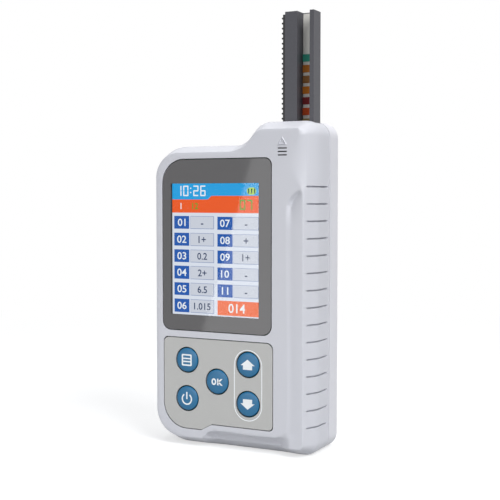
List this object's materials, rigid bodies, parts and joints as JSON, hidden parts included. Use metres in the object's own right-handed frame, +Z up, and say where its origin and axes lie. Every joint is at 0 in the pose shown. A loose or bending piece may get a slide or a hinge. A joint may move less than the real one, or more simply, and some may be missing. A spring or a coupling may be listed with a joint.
{
  "type": "urine analyzer",
  "caption": "Hand-held urine strip analyzer with colour display, round keys and a motor-driven strip tray that slides out of its top.",
  "frame": {"origin": "middle of the base, on the surface that the upright case stands on", "axes": "+Z up along the case and the tray, -Y out of the display side, +X to the tray side"},
  "size_m": [0.07, 0.0284, 0.1674],
  "materials": {
    "case_plastic": "fine satin",
    "label": "satin",
    "steel": "satin",
    "steel_sheet": "satin",
    "smoked_window": "gloss",
    "panel_grey": "satin",
    "key_blue": "satin gloss",
    "black_plastic": "matte",
    "white_plastic": "matte",
    "display_glass": "gloss",
    "flex_film": "satin",
    "board_green": "satin",
    "cell_foil": "satin",
    "foam": "matte",
    "guide_plastic": "matte",
    "tray_plastic": "satin",
    "strip_white": "satin",
    "pad_paper": "matte",
    "gear_plastic": "satin",
    "brass": "satin",
    "lens_glass": "gloss"
  },
  "bodies": {
    "case": {"front_shell": "case_plastic", "rear_shell": "case_plastic", "rear_label": "label", "case_screws": "steel", "display_window": "smoked_window", "keypad_panel": "panel_grey", "tact_switches": "black_plastic", "lcd_glass": "display_glass", "lcd_backlight": "steel_sheet", "lcd_holder": "black_plastic", "lcd_flex": "flex_film", "main_board": "board_green", "board_screws": "steel", "board_chips": "black_plastic", "buzzer": "black_plastic", "usb_socket": "steel", "battery_cell": "cell_foil", "cell_foam": "foam", "battery_plug": "white_plastic", "tray_guide": "guide_plastic", "guide_screws": "steel", "guide_cover": "guide_plastic", "cover_screws": "steel", "shaft_bush": "brass", "tray_motor": "steel_sheet", "motor_screws": "steel", "tray_eye": "black_plastic", "optics_housing": "black_plastic", "optics_screws": "steel", "optics_lens": "lens_glass", "sensor_card": "board_green", "sensor_lamps": "white_plastic", "light_sensor": "black_plastic", "sensor_ribbon": "flex_film"},
    "tray": {"strip_tray": "tray_plastic", "test_strip": "strip_white", "reagent_pads": "pad_paper"},
    "drive_gear": {"drive_shaft": "steel", "rack_pinion": "gear_plastic", "reduction_gear": "gear_plastic"},
    "motor_rotor": {"motor_shaft": "steel", "motor_pinion": "brass"},
    "menu_key": {"key_menu": "key_blue", "plunger_menu": "black_plastic"},
    "power_key": {"key_power": "key_blue", "plunger_power": "black_plastic"},
    "ok_key": {"key_ok": "key_blue", "plunger_ok": "black_plastic"},
    "up_key": {"key_up": "key_blue", "plunger_up": "black_plastic"},
    "down_key": {"key_down": "key_blue", "plunger_down": "black_plastic"}
  },
  "joints": [
    {"name": "tray_slide", "type": "slide", "parent": "case", "child": "tray", "axis": [0, 0, 1], "range_m": [-0.042, 0]},
    {"name": "drive_spin", "type": "hinge", "parent": "case", "child": "drive_gear", "pos_m": [0.01351, 0.003, 0.066], "axis": [0, 1, 0], "range_deg": [-6, 510]},
    {"name": "motor_spin", "type": "hinge", "parent": "case", "child": "motor_rotor", "pos_m": [-0.00004, 0.003, 0.066], "axis": [0, 1, 0], "range_deg": [-1450, 10]},
    {"name": "menu_press", "type": "slide", "parent": "case", "child": "menu_key", "axis": [0, 1, 0], "range_m": [0, 0.0005], "stiffness_N_per_m": 3000},
    {"name": "power_press", "type": "slide", "parent": "case", "child": "power_key", "axis": [0, 1, 0], "range_m": [0, 0.0005], "stiffness_N_per_m": 3000},
    {"name": "ok_press", "type": "slide", "parent": "case", "child": "ok_key", "axis": [0, 1, 0], "range_m": [0, 0.0005], "stiffness_N_per_m": 3000},
    {"name": "up_press", "type": "slide", "parent": "case", "child": "up_key", "axis": [0, 1, 0], "range_m": [0, 0.0005], "stiffness_N_per_m": 3000},
    {"name": "down_press", "type": "slide", "parent": "case", "child": "down_key", "axis": [0, 1, 0], "range_m": [0, 0.0005], "stiffness_N_per_m": 3000}
  ],
  "couplings": [
    {"joint": "drive_spin", "follows": "tray_slide", "rad_per_m": -208.33},
    {"joint": "motor_spin", "follows": "tray_slide", "rad_per_m": 595.24}
  ]
}
